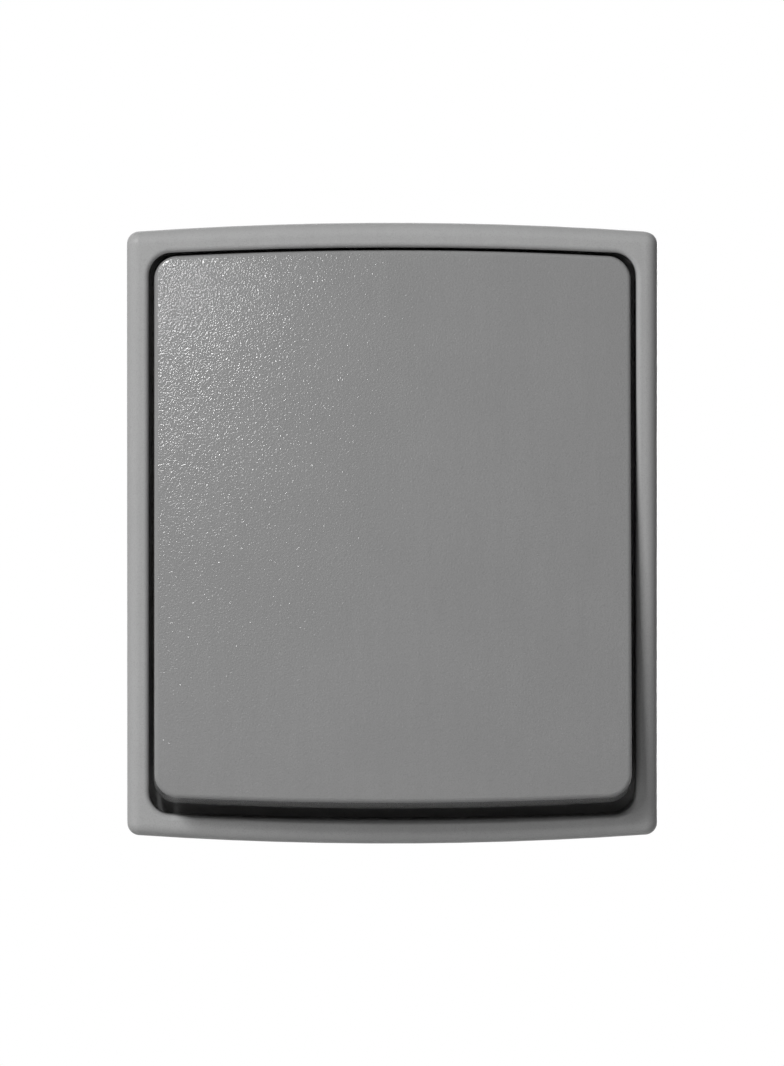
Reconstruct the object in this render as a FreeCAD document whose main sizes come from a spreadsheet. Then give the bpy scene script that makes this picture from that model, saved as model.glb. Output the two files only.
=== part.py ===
import FreeCAD, Part
import math
import os
import Sketcher
from FreeCAD import Placement, Rotation, Vector

# Flush-mounted weatherproof light switch with one rocker, in millimetres.
# X is to the right, Z up, and the wall is the plane y = 0. The room is on the -Y side, so "front"
# in a size means the distance in front of the wall, and "depth" the distance behind it.
# The origin is the middle of the pattern of box screws, on the back of the support ring.

DIMENSIONS = [
    ("frame_width", 81.0, "Frame, outer width"),
    ("frame_tall", 94.8, "Frame, outer height in the middle"),
    ("frame_bow", 1.45, "Frame, rise of the bowed top and bottom"),
    ("frame_corner", 1.9, "Frame, outer corner radius"),
    ("frame_front", 13.0, "Frame, front of the rim"),
    ("frame_stand", 0.6, "Frame, gap to the wall over the pressed gasket"),
    ("rim_round", 1.85, "Frame, outer rounding of the rim"),
    ("rim_inner_round", 0.8, "Frame, inner rounding of the rim"),
    ("rim_side", 3.28, "Frame, width of the rim at the sides"),
    ("rim_end", 3.65, "Frame, width of the rim at top and bottom"),
    ("opening_bow", 0.95, "Frame, rise of the opening's bowed ends"),
    ("opening_corner", 3.6, "Frame, corner radius of the opening"),
    ("floor_thick", 1.5, "Frame, thickness of the floor"),
    ("floor_gap", 0.7, "Gap between insert cover and floor"),
    ("hatch_radius", 15.5, "Frame, radius of the hole in the floor"),
    ("bead_gap", 0.1, "Frame, gap between the bead and the membrane's flange"),
    ("bead_wide", 1.0, "Frame, width of the bead round the membrane"),
    ("bead_tall", 0.7, "Frame, height of the bead round the membrane"),
    ("boss_radius", 3.5, "Frame, radius of the spacers behind the floor"),
    ("boss_gap", 1.0, "Frame, gap between the spacers and the insert cover"),
    ("rest_radius", 2.5, "Frame, radius of the corner rests"),
    ("rest_inset", 7.0, "Frame, distance of the corner rests from the edge of the support ring"),
    ("rib_thick", 1.2, "Ribs, thickness"),
    ("rib_gap", 0.5, "Frame ribs, gap to the support ring"),
    ("rib_cover_gap", 1.8, "Frame ribs, gap to the insert cover"),
    ("groove_inset", 0.86, "Gasket groove, distance from the outline"),
    ("groove_wide", 1.6, "Gasket groove, width"),
    ("groove_deep", 1.4, "Gasket groove, depth"),
    ("gasket_play", 0.05, "Gasket, side clearance in its groove"),
    ("side_gap", 0.74, "Rocker, gap to the opening at the sides"),
    ("end_gap", 0.9, "Rocker, gap to the opening at top and bottom"),
    ("rocker_proud", 3.6, "Rocker, height of its middle over the rim when level"),
    ("rocker_skirt", 8.0, "Rocker, depth of its side walls"),
    ("rocker_bow", 1.1, "Rocker, rise of its bowed ends"),
    ("rocker_corner", 3.6, "Rocker, corner radius"),
    ("rocker_crown", 1.2, "Rocker, drop of the face towards the sides"),
    ("rocker_wall", 1.8, "Rocker, thickness of the side walls"),
    ("rocker_plate", 2.0, "Rocker, thickness of the face"),
    ("rocker_edge", 0.6, "Rocker, rounding round the face"),
    ("side_draft", 1.0, "Rocker, draft of the sides in degrees"),
    ("end_draft", 5.4, "Rocker, draft of the ends in degrees"),
    ("rib_bite", 0.3, "Ribs, how far they run into the walls"),
    ("rib_lift", 4.6, "Rocker ribs, back edge behind the face"),
    ("rib_inner", 17.0, "Rocker, place of the inner cross ribs"),
    ("rib_outer", 34.0, "Rocker, place of the outer cross ribs"),
    ("half_tilt", 4.3, "Rocker, tilt from level to either stop in degrees"),
    ("pivot_depth", 0.9, "Rocker pivot, depth behind the wall plane"),
    ("socket_wall", 1.6, "Rocker, wall of the socket for the cradle's head"),
    ("socket_play", 0.1, "Clearance between cradle head and socket"),
    ("socket_lift", 6.1, "Rocker, back edge of the socket behind the face"),
    ("head_wide", 12.0, "Cradle, width of its head"),
    ("head_round", 0.8, "Cradle, chamfer of its head"),
    ("head_gap", 0.6, "Clearance between cradle head and the rocker's face"),
    ("latch_place", 1.9, "Cradle, distance of the latches from the back of its head"),
    ("latch_long", 1.4, "Cradle, length of the latches"),
    ("latch_wide", 4.0, "Cradle, width of the latches"),
    ("latch_tall", 0.7, "Cradle, height of the latches"),
    ("latch_play", 0.2, "Rocker, clearance of its windows round the latches"),
    ("neck_radius", 7.5, "Cradle, radius of its neck"),
    ("neck_front", 9.5, "Cradle, front end of its neck"),
    ("neck_back", 3.2, "Cradle, back end of its neck"),
    ("hub_wide", 14.8, "Cradle, width of its hub"),
    ("hub_tall", 10.0, "Cradle, height of its hub"),
    ("hub_depth", 2.9, "Cradle, back of its hub behind the wall plane"),
    ("pin_radius", 2.0, "Cradle, radius of its trunnions"),
    ("pin_play", 0.05, "Trunnions, radial clearance in the lugs"),
    ("pin_inset", 0.2, "Trunnions, how far they end inside the lugs"),
    ("leg_wide", 9.0, "Cradle, width of its leg"),
    ("leg_tall", 8.0, "Cradle, height of its leg"),
    ("leg_depth", 12.0, "Cradle, end of its leg behind the wall plane"),
    ("leg_bore", 2.2, "Cradle, radius of the bore for the plunger"),
    ("bore_length", 8.5, "Cradle, length of the bore for the plunger"),
    ("plunger_play", 0.1, "Plunger, radial clearance in its bore"),
    ("plunger_guide", 4.1, "Plunger, length of its guided end"),
    ("plunger_reach", 0.4, "Plunger, how far the guided end lies inside the leg"),
    ("nose_radius", 1.6, "Plunger, radius of its ball nose"),
    ("nose_gap", 0.05, "Plunger, clearance to the lever when level"),
    ("spring_wire", 0.5, "Plunger spring, wire diameter"),
    ("spring_play", 0.15, "Plunger spring, clearance in the bore"),
    ("spring_turns", 4.0, "Plunger spring, number of turns"),
    ("flange_radius", 21.5, "Membrane, outer radius"),
    ("flange_thick", 1.0, "Membrane, thickness of its clamped flange"),
    ("roll_place", 13.2, "Membrane, radius of the middle of its rolled wave"),
    ("roll_outer", 3.0, "Membrane, outer radius of the rolled wave"),
    ("skin_thick", 0.8, "Membrane, thickness of its skin"),
    ("sleeve_play", 0.05, "Membrane, clearance of its sleeve on the neck"),
    ("sleeve_thick", 1.3, "Membrane, thickness of its sleeve"),
    ("sleeve_front", 9.4, "Membrane, front end of its sleeve"),
    ("retainer_wide", 46.0, "Retainer, width"),
    ("retainer_end", 5.5, "Retainer, distance from the screws to its ends"),
    ("retainer_thick", 1.5, "Retainer, thickness"),
    ("retainer_corner", 6.0, "Retainer, corner radius"),
    ("retainer_hole", 17.0, "Retainer, radius of its hole"),
    ("retainer_foot", 3.2, "Retainer, radius of its feet"),
    ("plate_bevel", 0.5, "Bevel round the front of retainer and insert cover"),
    ("ring_gap", 1.72, "Support ring, gap to the frame at the sides"),
    ("ring_tall", 71.0, "Support ring, height"),
    ("ring_thick", 1.0, "Support ring, thickness"),
    ("ring_chamfer", 8.0, "Support ring, corner chamfer"),
    ("ring_bite", 1.5, "Support ring, how far it lies in front of the insert base"),
    ("window_corner", 2.0, "Support ring, corner radius of its window"),
    ("slot_inset", 5.5, "Box screw slots, distance from the edge of the support ring"),
    ("slot_radius", 1.8, "Box screw slots, half of their width"),
    ("slot_long", 6.4, "Box screw slots, length from end to end"),
    ("spare_place", 17.0, "Support ring, distance of the spare screw holes from the middle"),
    ("spare_radius", 2.1, "Support ring, radius of the spare screw holes"),
    ("screw_radius", 1.45, "Frame screws, radius of the shank"),
    ("screw_thread_play", 0.05, "Frame screws, clearance in the collars"),
    ("screw_hole_play", 0.25, "Frame screws, clearance in frame and retainer"),
    ("screw_head", 2.8, "Frame screws, radius of the head"),
    ("screw_head_tall", 1.9, "Frame screws, height of the head"),
    ("screw_bevel", 0.6, "Frame screws, bevel of the head"),
    ("screw_tip", 1.0, "Frame screws, radius of the tip"),
    ("screw_end", 3.4, "Frame screws, end behind the wall plane"),
    ("collar_radius", 2.4, "Support ring, radius of the screw collars"),
    ("collar_long", 2.5, "Support ring, length of the screw collars"),
    ("washer_radius", 3.0, "Seal rings, outer radius"),
    ("washer_thick", 0.8, "Seal rings, thickness"),
    ("washer_play", 0.1, "Seal rings, clearance on the screw"),
    ("cover_rim", 2.0, "Insert cover, how far it stands out round the base"),
    ("cover_thick", 1.6, "Insert cover, thickness of its flange"),
    ("cover_corner", 3.0, "Insert cover, corner radius"),
    ("collar_gap", 0.2, "Insert cover, clearance in the ring's window"),
    ("lug_gap", 0.8, "Clearance between the hub and the lugs"),
    ("lug_thick", 2.3, "Insert cover, thickness of the lugs"),
    ("lug_tall", 7.0, "Insert cover, height of the lugs"),
    ("lug_depth", 4.2, "Insert cover, end of the lugs behind the wall plane"),
    ("lug_slot", 3.4, "Insert cover, width of the snap-in slots"),
    ("cover_window", 17.2, "Insert cover, height of its window"),
    ("presser_wide", 2.0, "Insert cover, width of the posts behind it"),
    ("presser_place", 2.0, "Insert cover, gap from the lugs to the posts"),
    ("presser_tall", 3.0, "Insert cover, height of the posts behind it"),
    ("presser_gap", 0.2, "Clearance between the posts and the clamp springs"),
    ("base_wide", 40.0, "Insert base, width and height"),
    ("base_deep", 26.0, "Insert base, depth"),
    ("base_chamfer", 3.0, "Insert base, chamfer along its corners"),
    ("base_bevel", 1.0, "Insert base, bevel round its back"),
    ("base_wall", 1.8, "Insert base, thickness of its side walls"),
    ("back_wall", 2.0, "Insert base, thickness of its back wall"),
    ("centre_wide", 11.6, "Insert base, width of the middle chamber"),
    ("end_wall", 1.5, "Insert base, thickness of its top and bottom walls"),
    ("centre_deep", 20.8, "Insert base, depth of the middle chamber"),
    ("partition", 1.4, "Insert base, thickness of the partitions"),
    ("partition_depth", 4.6, "Insert base, front edge of the partitions"),
    ("cell_inset", 5.7, "Insert base, distance of the side chambers from top and bottom"),
    ("divider", 2.0, "Insert base, thickness of the left divider"),
    ("core_inset", 9.0, "Insert base, distance of the cored pockets from the sides"),
    ("core_tall", 1.6, "Insert base, height of the cored pockets"),
    ("core_deep", 22.0, "Insert base, depth of the cored pockets"),
    ("pilot_side", 5.0, "Cover screws, distance from the sides of the base"),
    ("pilot_end", 3.4, "Cover screws, distance from the top and bottom of the base"),
    ("pilot_radius", 1.1, "Cover screws, radius of the holes in the base"),
    ("pilot_deep", 10.0, "Cover screws, depth of the holes in the base"),
    ("tapper_play", 0.05, "Cover screws, radial clearance in the base"),
    ("tapper_hole_play", 0.1, "Cover screws, radial clearance in the cover"),
    ("tapper_long", 9.0, "Cover screws, end behind the wall plane"),
    ("tapper_head", 2.0, "Cover screws, radius of the countersunk head"),
    ("strip_thick", 0.8, "Terminals, thickness of the brass"),
    ("bar_gap", 0.85, "Terminals, gap from the clamping bar to the chamber's ends"),
    ("bar_depth", 8.0, "Terminals, front edge of the clamping bar"),
    ("finger_tall", 3.6, "Terminals, height of the finger"),
    ("finger_reach", 2.8, "Terminals, end of the finger past the middle"),
    ("finger_play", 0.15, "Terminals, clearance of the finger in its slot"),
    ("knife_radius", 0.6, "Common terminal, radius of the knife edge"),
    ("knife_wide", 4.8, "Common terminal, width of the knife edge"),
    ("knife_depth", 17.1, "Common terminal, depth of the knife edge"),
    ("knife_play", 0.05, "Lever, clearance of its groove on the knife edge"),
    ("lever_thick", 1.2, "Contact lever, thickness"),
    ("lever_wide", 5.0, "Contact lever, width"),
    ("lever_tall", 22.0, "Contact lever, height"),
    ("lever_corner", 1.2, "Contact lever, corner radius"),
    ("lever_tilt", 6.0, "Contact lever, tilt from level in degrees"),
    ("contact_place", 9.0, "Contacts, distance from the knife edge"),
    ("tip_radius", 1.6, "Moving contacts, radius"),
    ("tip_thick", 1.0, "Moving contacts, thickness"),
    ("tip_chamfer", 0.35, "Moving contacts, chamfer"),
    ("seat_radius", 1.7, "Fixed contacts, radius"),
    ("seat_thick", 0.75, "Fixed contacts, thickness"),
    ("seat_chamfer", 0.2, "Fixed contacts, chamfer"),
    ("leaf_thick", 0.4, "Clamp springs, thickness"),
    ("leaf_inset", 0.3, "Clamp springs, distance from the ends of the clamping bar"),
    ("leaf_bend", 2.0, "Clamp springs, radius of the bend"),
    ("leaf_front", 9.0, "Clamp springs, depth of the front leg"),
    ("leaf_start", 1.5, "Clamp springs, gap from the bar to the front leg"),
    ("leaf_gap", 0.2, "Clamp springs, clearance to the chamber wall"),
    ("leaf_tip_gap", 0.3, "Clamp springs, tip to the bar"),
    ("leaf_tip_depth", 18.0, "Clamp springs, depth of the tip"),
    ("wire_radius", 1.6, "Wire entries, radius"),
    ("wire_gap", 0.1, "Wire entries, clearance to the bar"),
    ("entry_funnel", 0.5, "Wire entries, depth of the funnel at the back"),
    ("gauge_wide", 3.0, "Strip gauge, width"),
    ("gauge_deep", 0.8, "Strip gauge, depth"),
    ("gauge_long", 11.0, "Strip gauge, length of bare wire"),
    ("button_share", 0.435, "Release buttons, width as a share of the space beside the wire entries"),
    ("button_tall", 5.0, "Release buttons, height"),
    ("button_free", 0.25, "Release buttons, gap to the clamp spring"),
    ("button_proud", 1.0, "Release buttons, how far they stand out at the back"),
    ("button_play", 0.15, "Release buttons, clearance in the back wall"),
    ("button_lip", 0.7, "Release buttons, width of the stop lip"),
    ("button_lip_long", 1.7, "Release buttons, length of the stop lip"),
    ("button_lip_gap", 0.3, "Release buttons, gap of the lip to the back wall"),
    ("button_bevel", 0.3, "Release buttons, bevel of the back end"),
    ("driver_slot", 1.0, "Release buttons, width of the slot for a screwdriver"),
    ("driver_deep", 0.6, "Release buttons, depth of the slot for a screwdriver"),
]

doc = FreeCAD.newDocument("weatherproof_light_switch")
sheet = doc.addObject("Spreadsheet::Sheet", "Sizes")
for row, (alias, number, note) in enumerate(DIMENSIONS, start=1):
    sheet.set("A%d" % row, note)
    sheet.set("B%d" % row, str(number))
    sheet.setAlias("B%d" % row, alias)
doc.recompute()

# Sizes that follow from the sheet

OPENING_WIDTH = "(Sizes.frame_width - 2 * Sizes.rim_side)"
OPENING_TALL = "(Sizes.frame_tall - 2 * Sizes.rim_end)"
COVER_FRONT = "(Sizes.ring_thick + Sizes.cover_thick)"
FLOOR_BACK = "(%s + Sizes.floor_gap)" % COVER_FRONT
FLOOR_FRONT = "(%s + Sizes.floor_thick)" % FLOOR_BACK
FLANGE_FRONT = "(%s + Sizes.flange_thick)" % FLOOR_FRONT
RETAINER_FRONT = "(%s + Sizes.retainer_thick)" % FLANGE_FRONT
FACE_FRONT = "(Sizes.frame_front + Sizes.rocker_proud)"
SKIRT_BACK = "(%s - Sizes.rocker_skirt)" % FACE_FRONT
SKIRT_WIDTH = "(%s - 2 * Sizes.side_gap)" % OPENING_WIDTH
SKIRT_TALL = "(%s - 2 * Sizes.end_gap)" % OPENING_TALL
LATCH_BACK = "(Sizes.neck_front + Sizes.latch_place)"
LATCH_FRONT = "(%s + Sizes.latch_long)" % LATCH_BACK
COVER_WIDE = "(Sizes.base_wide + 2 * Sizes.cover_rim)"
SCREW_PLACE = "(%s / 2 + Sizes.boss_gap + Sizes.boss_radius)" % COVER_WIDE
SCREW_HOLE = "(Sizes.screw_radius + Sizes.screw_hole_play)"
RETAINER_TALL = "(2 * (%s + Sizes.retainer_end))" % SCREW_PLACE
RING_WIDE = "(%s - 2 * Sizes.ring_gap)" % OPENING_WIDTH
RING_WINDOW = "(Sizes.base_wide - 2 * Sizes.ring_bite)"
BOX_SCREW_PLACE = "(%s / 2 - Sizes.slot_inset)" % RING_WIDE
PILOT_ACROSS = "(Sizes.base_wide / 2 - Sizes.pilot_side)"
PILOT_UP = "(Sizes.base_wide / 2 - Sizes.pilot_end)"
CENTRE_TALL = "(Sizes.base_wide - 2 * (Sizes.end_wall + Sizes.core_tall + Sizes.partition))"
CELL_TOP = "(Sizes.base_wide / 2 - Sizes.cell_inset)"
BAR_TALL = "(%s - Sizes.divider / 2 - 2 * Sizes.bar_gap)" % CELL_TOP
BAR_PLACE = "((%s + Sizes.divider / 2) / 2)" % CELL_TOP
LUG_INNER = "(Sizes.hub_wide / 2 + Sizes.lug_gap)"
LUG_OUTER = "(%s + Sizes.lug_thick)" % LUG_INNER
BAR_INNER = "(Sizes.centre_wide / 2 + Sizes.partition)"
BAR_OUTER = "(%s + Sizes.strip_thick)" % BAR_INNER
CELL_OUTER = "(Sizes.base_wide / 2 - Sizes.base_wall)"
CELL_DEEP = "(Sizes.base_deep - Sizes.back_wall)"
FINGER_FRONT = "(Sizes.centre_deep - Sizes.strip_thick)"
LEVER_FRONT = "(Sizes.knife_depth - Sizes.lever_thick)"
NOSE_TIP = "(%s - Sizes.nose_gap)" % LEVER_FRONT
WIRE_PLACE = "(%s + Sizes.wire_gap + Sizes.wire_radius)" % BAR_OUTER
WIRE_SPREAD = "(%s / 2 - Sizes.wire_radius)" % BAR_TALL
LEAF_BEND_PLACE = "(%s - Sizes.leaf_gap - Sizes.leaf_thick / 2 - Sizes.leaf_bend)" % CELL_OUTER
LEAF_TIP = "(%s + Sizes.leaf_tip_gap)" % BAR_OUTER
WIRE_OUTER = "(%s + Sizes.wire_radius)" % WIRE_PLACE
BUTTON_PLACE = "((%s + %s) / 2)" % (WIRE_OUTER, CELL_OUTER)
BUTTON_WIDE = "(Sizes.button_share * (%s - %s))" % (CELL_OUTER, WIRE_OUTER)

TINY = 1e-4


def value(expression):
    """The number that an expression on the sheet gives."""
    return float(sheet.evalExpression(expression))


# Sketches: the plane, the points and the outlines that the pieces share

def new_body(name):
    body = doc.addObject("PartDesign::Body", name)
    body.Label = name
    return body


def new_sketch(body, name, role, offset, turn=0):
    """A sketch on one of the body's own origin planes, moved along its normal by the offset."""
    sketch = body.newObject("Sketcher::SketchObject", name)
    plane = [item for item in body.Origin.OriginFeatures if item.Role == role][0]
    sketch.AttachmentSupport = [(plane, "")]
    sketch.MapMode = "FlatFace"
    sketch.AttachmentOffset = Placement(Vector(), Rotation(Vector(1, 0, 0), turn))
    if offset != "0":
        sketch.setExpression(".AttachmentOffset.Base.z", offset)
    return sketch


def front_sketch(body, name, front):
    """A sketch parallel to the wall and facing the room: X across, Z up."""
    return new_sketch(body, name, "XZ_Plane", front)


def depth_sketch(body, name, depth):
    """A sketch parallel to the wall, at a depth behind it."""
    return new_sketch(body, name, "XZ_Plane", "-(%s)" % depth)


def level_sketch(body, name):
    """A sketch in the level plane: X across, and up is towards the room."""
    return new_sketch(body, name, "XY_Plane", "0", turn=180)


def side_sketch(body, name):
    """A sketch in the upright plane square to the wall: depth across, Z up."""
    return new_sketch(body, name, "YZ_Plane", "0")


def bind(sketch, kind, name, expression, *places):
    """One dimension of a sketch, driven by an expression on the sheet."""
    constraint = Sketcher.Constraint(kind, *places, value(expression))
    index = sketch.addConstraint(constraint)
    sketch.renameConstraint(index, name)
    sketch.setExpression("Constraints." + name, expression)


def pin(sketch, name, curve, point, across, up):
    """Fixes a point of a curve at its place across and up."""
    for kind, axis, expression in (("DistanceX", -2, across), ("DistanceY", -1, up)):
        if expression == "0":
            rule = Sketcher.Constraint("PointOnObject", curve, point, axis)
            sketch.addConstraint(rule)
        else:
            label = name + ("_across" if kind == "DistanceX" else "_up")
            bind(sketch, kind, label, expression, -1, 1, curve, point)


def circle(sketch, name, radius, across="0", up="0"):
    centre = Vector(value(across), value(up), 0)
    curve = sketch.addGeometry(Part.Circle(centre, Vector(0, 0, 1), value(radius)))
    bind(sketch, "Radius", name + "_radius", radius, curve)
    pin(sketch, name, curve, 3, across, up)


def loop(sketch, name, corners):
    """A closed outline through the corners, each (across, up) or, where an arc starts,
    (across, up, arc centre across, arc centre up, True if it runs counterclockwise)."""
    spots = [Vector(value(corner[0]), value(corner[1]), 0) for corner in corners]
    curves = []
    for index, corner in enumerate(corners):
        here = spots[index]
        after = spots[(index + 1) % len(spots)]
        if len(corner) == 2:
            curve = sketch.addGeometry(Part.LineSegment(here, after))
            curves.append((curve, 1, 2))
            continue
        centre = Vector(value(corner[2]), value(corner[3]), 0)
        first, last = (here, after) if corner[4] else (after, here)
        ring = Part.Circle(centre, Vector(0, 0, 1), (here - centre).Length)
        angles = [math.atan2(p.y - centre.y, p.x - centre.x) for p in (first, last)]
        curve = sketch.addGeometry(Part.ArcOfCircle(ring, angles[0], angles[1]))
        curves.append((curve, 1, 2) if corner[4] else (curve, 2, 1))
    for index, (curve, start, end) in enumerate(curves):
        follower = curves[(index + 1) % len(curves)]
        joint = Sketcher.Constraint("Coincident", curve, end, follower[0], follower[1])
        sketch.addConstraint(joint)
    for index, (curve, start, end) in enumerate(curves):
        corner = corners[index]
        label = "%s_%d" % (name, index + 1)
        pin(sketch, label, curve, start, corner[0], corner[1])
        if len(corner) == 5:
            chord = spots[(index + 1) % len(spots)] - spots[index]
            flat = abs(chord.x) > abs(chord.y)
            kind, axis, place = ("DistanceY", -1, 3) if flat else ("DistanceX", -2, 2)
            if corner[place] == "0":
                rule = Sketcher.Constraint("PointOnObject", curve, 3, axis)
                sketch.addConstraint(rule)
            else:
                bind(sketch, kind, label + "_centre", corner[place], -1, 1, curve, 3)


def rectangle(sketch, name, left, right, low, high):
    loop(sketch, name, [(left, low), (right, low), (right, high), (left, high)])


def centred_rectangle(sketch, name, width, tall):
    half = "(%s) / 2" % width
    rise = "(%s) / 2" % tall
    rectangle(sketch, name, "-" + half, half, "-" + rise, rise)


def bowed_outline(sketch, name, width, tall, bow):
    """Straight sides, and ends that rise by the bow in the middle."""
    half = "(%s) / 2" % width
    rise = "((%s) / 2 - (%s))" % (tall, bow)
    radius = "((%s)^2 / 4 + (%s)^2) / (2 * (%s))" % (width, bow, bow)
    middle = "((%s) / 2 - (%s))" % (tall, radius)
    loop(sketch, name, [
        ("-" + half, "-" + rise, "0", "-" + middle, True),
        (half, "-" + rise),
        (half, rise, "0", middle, True),
        ("-" + half, rise),
    ])


def slot(sketch, name, across, length, radius):
    """A slot along X round a place on the X axis."""
    reach = "((%s) / 2 - (%s))" % (length, radius)
    left = "(%s - %s)" % (across, reach)
    right = "(%s + %s)" % (across, reach)
    loop(sketch, name, [
        (left, "-" + radius),
        (right, "-" + radius, right, "0", True),
        (right, radius),
        (left, radius, left, "0", True),
    ])


# Features

def extrude(kind, body, sketch, name, length, reverse=False, both_ways=False):
    feature = body.newObject("PartDesign::" + kind, name)
    feature.Profile = sketch
    feature.setExpression("Length", length)
    feature.Reversed = reverse
    feature.Midplane = both_ways
    doc.recompute()
    return feature


def pad(body, sketch, name, length, **options):
    return extrude("Pad", body, sketch, name, length, **options)


def pocket(body, sketch, name, length, **options):
    """A cut, checked against the body's volume before it."""
    before = body.Tip.Shape.Volume
    feature = extrude("Pocket", body, sketch, name, length, **options)
    if feature.Shape.Volume > before - TINY:
        raise RuntimeError("The cut %s removes nothing" % name)
    return feature


def revolve(body, sketch, name, axis, kind="Revolution"):
    feature = body.newObject("PartDesign::" + kind, name)
    feature.Profile = sketch
    feature.ReferenceAxis = (sketch, [axis])
    feature.Angle = 360
    doc.recompute()
    return feature


def dress(kind, body, name, size, wanted):
    """A fillet or chamfer on those edges of the body that the test picks."""
    base = body.Tip
    edges = ["Edge%d" % (i + 1) for i, edge in enumerate(base.Shape.Edges) if wanted(edge)]
    feature = body.newObject("PartDesign::" + kind, name)
    feature.Base = (base, edges)
    feature.setExpression("Radius" if kind == "Fillet" else "Size", size)
    doc.recompute()
    return feature


def fillet(body, name, radius, wanted):
    return dress("Fillet", body, name, radius, wanted)


def chamfer(body, name, size, wanted):
    return dress("Chamfer", body, name, size, wanted)


def in_front(edge, front):
    """True for an edge that lies wholly in the plane at this distance in front of the wall."""
    box = edge.BoundBox
    return max(abs(box.YMin + value(front)), abs(box.YMax + value(front))) < 1e-3


def runs_back(edge, half_width, slack=0.01):
    """True for an edge that runs square to the wall at this distance from the middle."""
    box = edge.BoundBox
    straight = box.YLength > 5 * (box.XLength + box.ZLength)
    return straight and abs(max(abs(box.XMin), abs(box.XMax)) - half_width) < slack


def mirror(body, feature, name, role):
    """A mirror image of a feature about one of the body's origin planes."""
    copy = body.newObject("PartDesign::Mirrored", name)
    plane = [item for item in body.Origin.OriginFeatures if item.Role == role][0]
    copy.Originals = [feature]
    copy.MirrorPlane = (plane, [""])
    body.Tip = copy
    doc.recompute()
    return copy


def turn_about(body, depth, angle):
    """Turns a body about an axis along X at this depth behind the wall plane."""
    body.Placement = Placement(Vector(), Rotation(Vector(1, 0, 0), 1))
    body.setExpression(".Placement.Base.y", "(%s) * (1 - cos(%s))" % (depth, angle))
    body.setExpression(".Placement.Base.z", "-(%s) * sin(%s)" % (depth, angle))
    body.setExpression(".Placement.Rotation.Angle", angle)
    doc.recompute()


def both_sides(place):
    """The two signs of a place, with a name for each."""
    return (("high", place), ("low", "-" + place))


# Frame: one moulding with a raised rim, a floor for the membrane and a back cavity for the ring

def make_frame():
    body = new_body("frame")
    outer = front_sketch(body, "frame_outline", "Sizes.frame_stand")
    bowed_outline(outer, "outer", "Sizes.frame_width", "Sizes.frame_tall", "Sizes.frame_bow")
    pad(body, outer, "frame_block", "Sizes.frame_front - Sizes.frame_stand")
    half = value("Sizes.frame_width") / 2
    fillet(body, "frame_corners", "Sizes.frame_corner", lambda e: runs_back(e, half))
    fillet(body, "rim_rounding", "Sizes.rim_round", lambda e: in_front(e, "Sizes.frame_front"))

    opening = front_sketch(body, "opening_outline", "Sizes.frame_front")
    bowed_outline(opening, "opening", OPENING_WIDTH, OPENING_TALL, "Sizes.opening_bow")
    pocket(body, opening, "rocker_opening", "Sizes.frame_front - " + FLOOR_FRONT)
    half = value(OPENING_WIDTH) / 2
    fillet(body, "opening_corners", "Sizes.opening_corner", lambda e: runs_back(e, half))
    reach = value(OPENING_WIDTH) / 2 + TINY
    fillet(
        body, "rim_inner_rounding", "Sizes.rim_inner_round",
        lambda e: in_front(e, "Sizes.frame_front") and e.BoundBox.XMax < reach
        and e.BoundBox.XMin > -reach and abs(e.BoundBox.ZMax) < value(OPENING_TALL) / 2 + TINY
        and abs(e.BoundBox.ZMin) < value(OPENING_TALL) / 2 + TINY,
    )

    cavity = front_sketch(body, "cavity_outline", "Sizes.frame_stand")
    bowed_outline(cavity, "cavity", OPENING_WIDTH, OPENING_TALL, "Sizes.opening_bow")
    pocket(body, cavity, "back_cavity", FLOOR_BACK + " - Sizes.frame_stand", reverse=True)

    bead = front_sketch(body, "bead_outline", FLOOR_FRONT)
    circle(bead, "bead_inner", "Sizes.flange_radius + Sizes.bead_gap")
    circle(bead, "bead_outer", "Sizes.flange_radius + Sizes.bead_gap + Sizes.bead_wide")
    pad(body, bead, "membrane_bead", "Sizes.bead_tall")

    spacers = front_sketch(body, "spacer_outline", "Sizes.ring_thick")
    for name, up in both_sides(SCREW_PLACE):
        circle(spacers, name + "_boss", "Sizes.boss_radius", "0", up)
    for name, up in both_sides("(Sizes.ring_tall / 2 - Sizes.rest_inset)"):
        for side, across in both_sides("(%s / 2 - Sizes.rest_inset)" % RING_WIDE):
            circle(spacers, name + side + "_rest", "Sizes.rest_radius", across, up)
    pad(body, spacers, "floor_spacers", FLOOR_BACK + " - Sizes.ring_thick")

    rib_height = "%s - Sizes.ring_thick - Sizes.rib_gap" % FLOOR_BACK
    rib_side = "%s / 2 + Sizes.rib_cover_gap" % COVER_WIDE
    ribs = front_sketch(body, "rib_outline", "Sizes.ring_thick + Sizes.rib_gap")
    rectangle(
        ribs, "rib", rib_side, rib_side + " + Sizes.rib_thick",
        "-(%s / 2 - 2 * Sizes.opening_bow)" % OPENING_TALL,
        "%s / 2 - 2 * Sizes.opening_bow" % OPENING_TALL,
    )
    rib = pad(body, ribs, "floor_rib", rib_height)
    mirror(body, rib, "floor_rib_left", "YZ_Plane")
    cross = front_sketch(body, "cross_rib_outline", "Sizes.ring_thick + Sizes.rib_gap")
    rectangle(
        cross, "cross_rib", "-(%s)" % rib_side, rib_side,
        SCREW_PLACE + " - Sizes.rib_thick / 2", SCREW_PLACE + " + Sizes.rib_thick / 2",
    )
    rib = pad(body, cross, "cross_rib", rib_height)
    mirror(body, rib, "cross_rib_low", "XY_Plane")

    hatch = front_sketch(body, "hatch_outline", FLOOR_FRONT)
    circle(hatch, "hatch", "Sizes.hatch_radius")
    for name, up in both_sides(SCREW_PLACE):
        circle(hatch, name + "_screw", SCREW_HOLE, "0", up)
    pocket(body, hatch, "floor_holes", "%s - Sizes.ring_thick" % FLOOR_FRONT)

    groove = front_sketch(body, "groove_outline", "Sizes.frame_stand")
    ring_outline(groove, "0")
    pocket(body, groove, "gasket_groove", "Sizes.groove_deep", reverse=True)
    return body


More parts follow.
